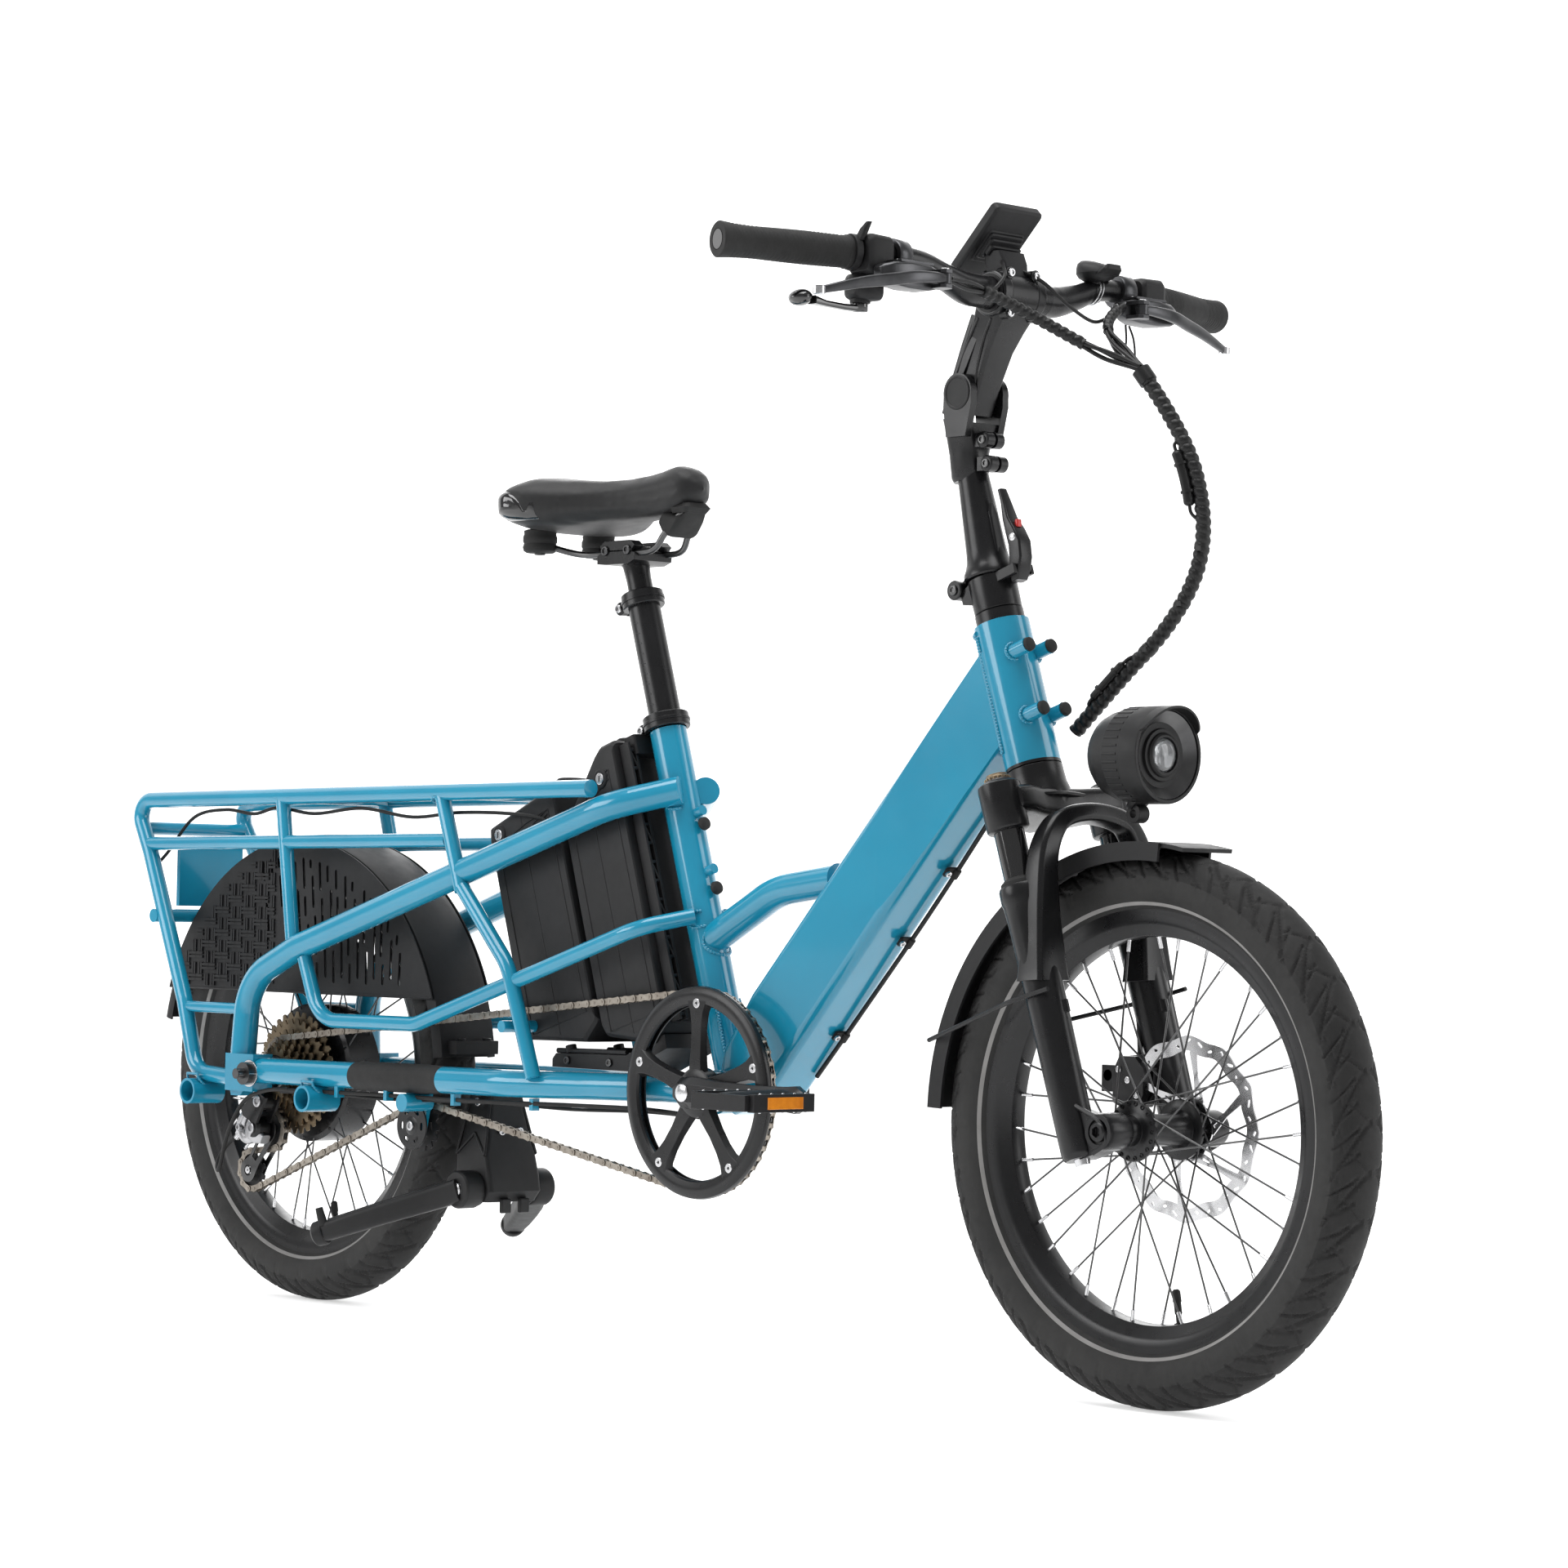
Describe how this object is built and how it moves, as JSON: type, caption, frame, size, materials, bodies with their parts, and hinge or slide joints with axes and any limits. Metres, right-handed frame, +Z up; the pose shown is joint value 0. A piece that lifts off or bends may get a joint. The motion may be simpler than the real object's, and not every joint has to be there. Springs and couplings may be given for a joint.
{
  "type": "cargo bicycle",
  "caption": "Compact electric cargo bicycle with a low welded frame, long rear rack, folding handlebar mast, two battery packs, suspension fork and double-leg stand.",
  "frame": {"origin": "centre of the bounding box on the ground, under the middle of the bicycle", "axes": "+X towards the front wheel, +Y to the rider's left, +Z up"},
  "size_m": [1.8657, 0.7106, 1.1708],
  "materials": {
    "alloy": "satin alloy",
    "black_alloy": "satin black anodised",
    "black_plastic": "fine grained matte",
    "black_steel": "black powder coat",
    "blue_paint": "glossy cyan-blue enamel over welded aluminium",
    "cable_jacket": "black jacket",
    "chain_steel": "oiled steel",
    "cog_steel": "bronze tinted steel",
    "gloss_plastic": "smooth gloss",
    "grip_rubber": "ribbed soft rubber",
    "saddle_cover": "matte synthetic leather",
    "spoke_steel": "black spokes with silver nipples",
    "steel": "brushed",
    "tyre_rubber": "matte tread with a grey stripe"
  },
  "bodies": {
    "frame": {"head_tube": "blue_paint", "headset": "black_alloy", "seat_clamp": "black_alloy", "main_stays": "blue_paint", "front_battery": "black_plastic", "rear_battery": "black_plastic", "rear_axle": "steel", "chain": "chain_steel", "rear_derailleur": "alloy", "bottom_bracket_bearings": "steel", "kickstand_bracket": "black_steel", "frame_cable": "cable_jacket", "down_tube": "blue_paint", "seat_tube": "blue_paint", "chainstays": "blue_paint", "dropouts": "black_alloy", "rack_side_frames": "blue_paint", "lower_stays": "blue_paint", "rack_cross_tubes": "blue_paint", "battery_cradle": "black_plastic", "rear_fender": "black_plastic"},
    "steering": {"fork_crown": "black_alloy"},
    "fork_sliders": {"fork_lowers": "black_alloy", "front_fender": "black_plastic"},
    "front_wheel": {"front_rim": "black_alloy", "front_tyre": "tyre_rubber", "front_hub": "black_alloy", "front_spokes": "spoke_steel", "front_brake_rotor": "steel"},
    "headlight_unit": {"headlight": "gloss_plastic"},
    "mast": {"folding_mast": "black_alloy"},
    "handlebar_unit": {"stem": "black_alloy", "handlebar": "black_alloy", "grips": "grip_rubber", "display": "gloss_plastic", "handlebar_controls": "black_plastic", "control_loom": "cable_jacket"},
    "right_lever": {"right_brake_lever": "black_alloy"},
    "left_lever": {"left_brake_lever": "black_alloy"},
    "shifter": {"shifter_lever": "black_plastic"},
    "fold_latch": {"fold_latch_lever": "black_alloy"},
    "rear_wheel": {"rear_rim": "black_alloy", "rear_tyre": "tyre_rubber", "rear_hub_motor": "black_alloy", "rear_spokes": "spoke_steel"},
    "freewheel": {"cassette": "cog_steel"},
    "crankset": {"right_crank": "black_alloy", "chainring": "alloy", "left_crank": "black_alloy"},
    "right_pedal_unit": {"right_pedal": "black_plastic"},
    "left_pedal_unit": {"left_pedal": "black_plastic"},
    "chain_idler": {"idler_pulley": "black_plastic"},
    "jockey_cage": {"derailleur_cage": "alloy"},
    "upper_jockey": {"guide_pulley": "black_plastic"},
    "lower_jockey": {"tension_pulley": "black_plastic"},
    "kickstand": {"kickstand_legs": "black_steel"},
    "lower_post": {"lower_seatpost": "black_alloy"},
    "saddle_post": {"upper_seatpost": "black_alloy", "saddle_rails": "black_steel", "saddle": "saddle_cover"}
  },
  "joints": [
    {"name": "steering_turn", "type": "hinge", "parent": "frame", "child": "steering", "pos_m": [0.4965, 0, 0.613], "axis": [-0.319, 0, 0.9478], "range_deg": [-50, 50], "deforming": ["control_loom"]},
    {"name": "fork_travel", "type": "slide", "parent": "steering", "child": "fork_sliders", "axis": [-0.319, 0, 0.9478], "range_m": [0, 0.04], "stiffness_N_per_m": 6000, "springref_m": -0.03},
    {"name": "front_wheel_spin", "type": "hinge", "parent": "fork_sliders", "child": "front_wheel", "pos_m": [0.6695, 0, 0.265], "axis": [0, 1, 0], "continuous": true},
    {"name": "headlight_tilt", "type": "hinge", "parent": "fork_sliders", "child": "headlight_unit", "pos_m": [0.6365, 0, 0.566], "axis": [0, 1, 0], "range_deg": [-12, 12]},
    {"name": "mast_fold", "type": "hinge", "parent": "steering", "child": "mast", "pos_m": [0.40492, 0, 0.78793], "axis": [0, -1, 0], "range_deg": [0, 90], "deforming": ["control_loom"]},
    {"name": "fold_latch_open", "type": "hinge", "parent": "steering", "child": "fold_latch", "pos_m": [0.4719, 0, 0.80836], "axis": [0, 1, 0], "range_deg": [0, 70]},
    {"name": "stem_pitch", "type": "hinge", "parent": "mast", "child": "handlebar_unit", "pos_m": [0.4075, 0, 0.985], "axis": [0, 1, 0], "range_deg": [-20, 30], "deforming": ["control_loom"]},
    {"name": "right_brake_squeeze", "type": "hinge", "parent": "handlebar_unit", "child": "right_lever", "pos_m": [0.5015, -0.14, 1.077], "axis": [0, 0, 1], "range_deg": [0, 12], "stiffness_Nm_per_rad": 2, "springref_deg": -5.73},
    {"name": "left_brake_squeeze", "type": "hinge", "parent": "handlebar_unit", "child": "left_lever", "pos_m": [0.5015, 0.14, 1.077], "axis": [0, 0, -1], "range_deg": [0, 12], "stiffness_Nm_per_rad": 2, "springref_deg": -5.73},
    {"name": "shifter_push", "type": "hinge", "parent": "handlebar_unit", "child": "shifter", "pos_m": [0.4445, -0.198, 1.048], "axis": [0, 0, 1], "range_deg": [0, 16], "stiffness_Nm_per_rad": 0.4, "springref_deg": -5.73},
    {"name": "rear_wheel_spin", "type": "hinge", "parent": "frame", "child": "rear_wheel", "pos_m": [-0.6475, 0, 0.265], "axis": [0, 1, 0], "continuous": true},
    {"name": "crank_spin", "type": "hinge", "parent": "frame", "child": "crankset", "pos_m": [0.0805, 0, 0.275], "axis": [0, 1, 0], "continuous": true},
    {"name": "freewheel_spin", "type": "hinge", "parent": "frame", "child": "freewheel", "pos_m": [-0.6475, 0, 0.265], "axis": [0, 1, 0], "continuous": true},
    {"name": "idler_spin", "type": "hinge", "parent": "frame", "child": "chain_idler", "pos_m": [-0.3875, -0.054, 0.217], "axis": [0, 1, 0], "continuous": true},
    {"name": "jockey_cage_swing", "type": "hinge", "parent": "frame", "child": "jockey_cage", "pos_m": [-0.6695, -0.054, 0.198], "axis": [0, 1, 0], "range_deg": [-5, 5]},
    {"name": "upper_jockey_spin", "type": "hinge", "parent": "jockey_cage", "child": "upper_jockey", "pos_m": [-0.6695, -0.054, 0.198], "axis": [0, 1, 0], "continuous": true},
    {"name": "lower_jockey_spin", "type": "hinge", "parent": "jockey_cage", "child": "lower_jockey", "pos_m": [-0.7075, -0.054, 0.149], "axis": [0, 1, 0], "continuous": true},
    {"name": "right_pedal_spin", "type": "hinge", "parent": "crankset", "child": "right_pedal_unit", "pos_m": [0.2455, -0.136, 0.275], "axis": [0, 1, 0], "continuous": true},
    {"name": "left_pedal_spin", "type": "hinge", "parent": "crankset", "child": "left_pedal_unit", "pos_m": [-0.0845, 0.136, 0.275], "axis": [0, 1, 0], "continuous": true},
    {"name": "kickstand_swing", "type": "hinge", "parent": "frame", "child": "kickstand", "pos_m": [-0.3155, 0, 0.15], "axis": [0, -1, 0], "range_deg": [0, 80]},
    {"name": "lower_post_height", "type": "slide", "parent": "frame", "child": "lower_post", "axis": [-0.3065, 0, 0.9519], "range_m": [-0.09, 0.06]},
    {"name": "upper_post_height", "type": "slide", "parent": "lower_post", "child": "saddle_post", "axis": [-0.3065, 0, 0.9519], "range_m": [-0.02, 0.09]}
  ],
  "couplings": [
    {"joint": "freewheel_spin", "follows": "crank_spin", "ratio": 2.6},
    {"joint": "idler_spin", "follows": "crank_spin", "ratio": -4},
    {"joint": "upper_jockey_spin", "follows": "crank_spin", "ratio": -4.7273},
    {"joint": "lower_jockey_spin", "follows": "crank_spin", "ratio": 4.7273}
  ]
}
